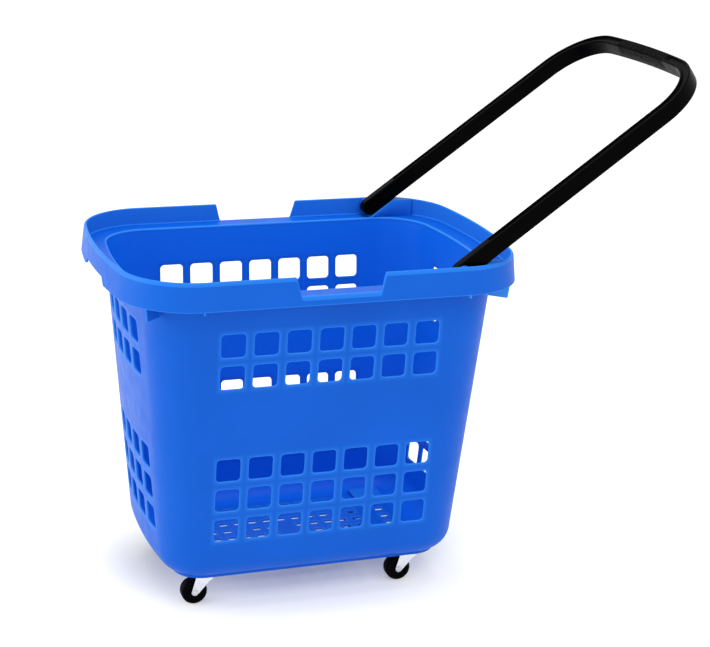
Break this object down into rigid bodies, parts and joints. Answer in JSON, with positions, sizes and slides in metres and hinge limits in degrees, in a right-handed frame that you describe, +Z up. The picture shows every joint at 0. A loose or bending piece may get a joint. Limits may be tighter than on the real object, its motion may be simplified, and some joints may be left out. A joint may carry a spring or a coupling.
{
  "type": "rolling basket trolley",
  "caption": "Rolling shopping basket: leaning walls with rows of rounded holes, a flared rim and a U-shaped pull handle that folds down onto it, on swivel casters.",
  "frame": {"origin": "on the ground, under the middle of the overall length and width with the handle pulled out", "axes": "+X along the basket towards the pull end, where the handle reaches out; +Y to the left of someone who looks that way; +Z up"},
  "size_m": [0.768, 0.3846, 0.7018],
  "materials": {
    "basket_plastic": "satin moulded polypropylene",
    "handle_plastic": "smooth and fairly glossy",
    "zinc_plate": "bright zinc-plated pressed steel",
    "steel": "bright steel",
    "wheel_plastic": "satin hard plastic"
  },
  "bodies": {
    "basket": {"basket_body": "basket_plastic", "caster_screws": "steel", "caster_plate_front_left": "zinc_plate", "caster_balls_front_left": "steel", "caster_kingpin_front_left": "zinc_plate", "caster_plate_rear_left": "zinc_plate", "caster_balls_rear_left": "steel", "caster_kingpin_rear_left": "zinc_plate", "caster_plate_rear_right": "zinc_plate", "caster_balls_rear_right": "steel", "caster_kingpin_rear_right": "zinc_plate", "caster_plate_front_right": "zinc_plate", "caster_balls_front_right": "steel", "caster_kingpin_front_right": "zinc_plate"},
    "handle": {"handle": "handle_plastic"},
    "fork_front_left": {"caster_fork_front_left": "zinc_plate", "caster_axle_front_left": "steel"},
    "fork_rear_left": {"caster_fork_rear_left": "zinc_plate", "caster_axle_rear_left": "steel"},
    "fork_rear_right": {"caster_fork_rear_right": "zinc_plate", "caster_axle_rear_right": "steel"},
    "fork_front_right": {"caster_fork_front_right": "zinc_plate", "caster_axle_front_right": "steel"},
    "wheel_front_left": {"caster_wheel_front_left": "wheel_plastic"},
    "wheel_rear_left": {"caster_wheel_rear_left": "wheel_plastic"},
    "wheel_rear_right": {"caster_wheel_rear_right": "wheel_plastic"},
    "wheel_front_right": {"caster_wheel_front_right": "wheel_plastic"}
  },
  "joints": [
    {"name": "handle_fold", "type": "hinge", "parent": "basket", "child": "handle", "pos_m": [0.0443, 0, 0.453], "axis": [0, -1, 0], "range_deg": [0, 144.6]},
    {"name": "swivel_front_left", "type": "hinge", "parent": "basket", "child": "fork_front_left", "pos_m": [0.0233, 0.084, 0.04], "axis": [0, 0, 1], "continuous": true},
    {"name": "swivel_rear_left", "type": "hinge", "parent": "basket", "child": "fork_rear_left", "pos_m": [-0.2587, 0.084, 0.04], "axis": [0, 0, 1], "continuous": true},
    {"name": "swivel_rear_right", "type": "hinge", "parent": "basket", "child": "fork_rear_right", "pos_m": [-0.2587, -0.084, 0.04], "axis": [0, 0, 1], "continuous": true},
    {"name": "swivel_front_right", "type": "hinge", "parent": "basket", "child": "fork_front_right", "pos_m": [0.0233, -0.084, 0.04], "axis": [0, 0, 1], "continuous": true},
    {"name": "wheel_spin_front_left", "type": "hinge", "parent": "fork_front_left", "child": "wheel_front_left", "pos_m": [0.0103, 0.084, 0.017], "axis": [0, 1, 0], "continuous": true},
    {"name": "wheel_spin_rear_left", "type": "hinge", "parent": "fork_rear_left", "child": "wheel_rear_left", "pos_m": [-0.2717, 0.084, 0.017], "axis": [0, 1, 0], "continuous": true},
    {"name": "wheel_spin_rear_right", "type": "hinge", "parent": "fork_rear_right", "child": "wheel_rear_right", "pos_m": [-0.2717, -0.084, 0.017], "axis": [0, 1, 0], "continuous": true},
    {"name": "wheel_spin_front_right", "type": "hinge", "parent": "fork_front_right", "child": "wheel_front_right", "pos_m": [0.0103, -0.084, 0.017], "axis": [0, 1, 0], "continuous": true}
  ]
}
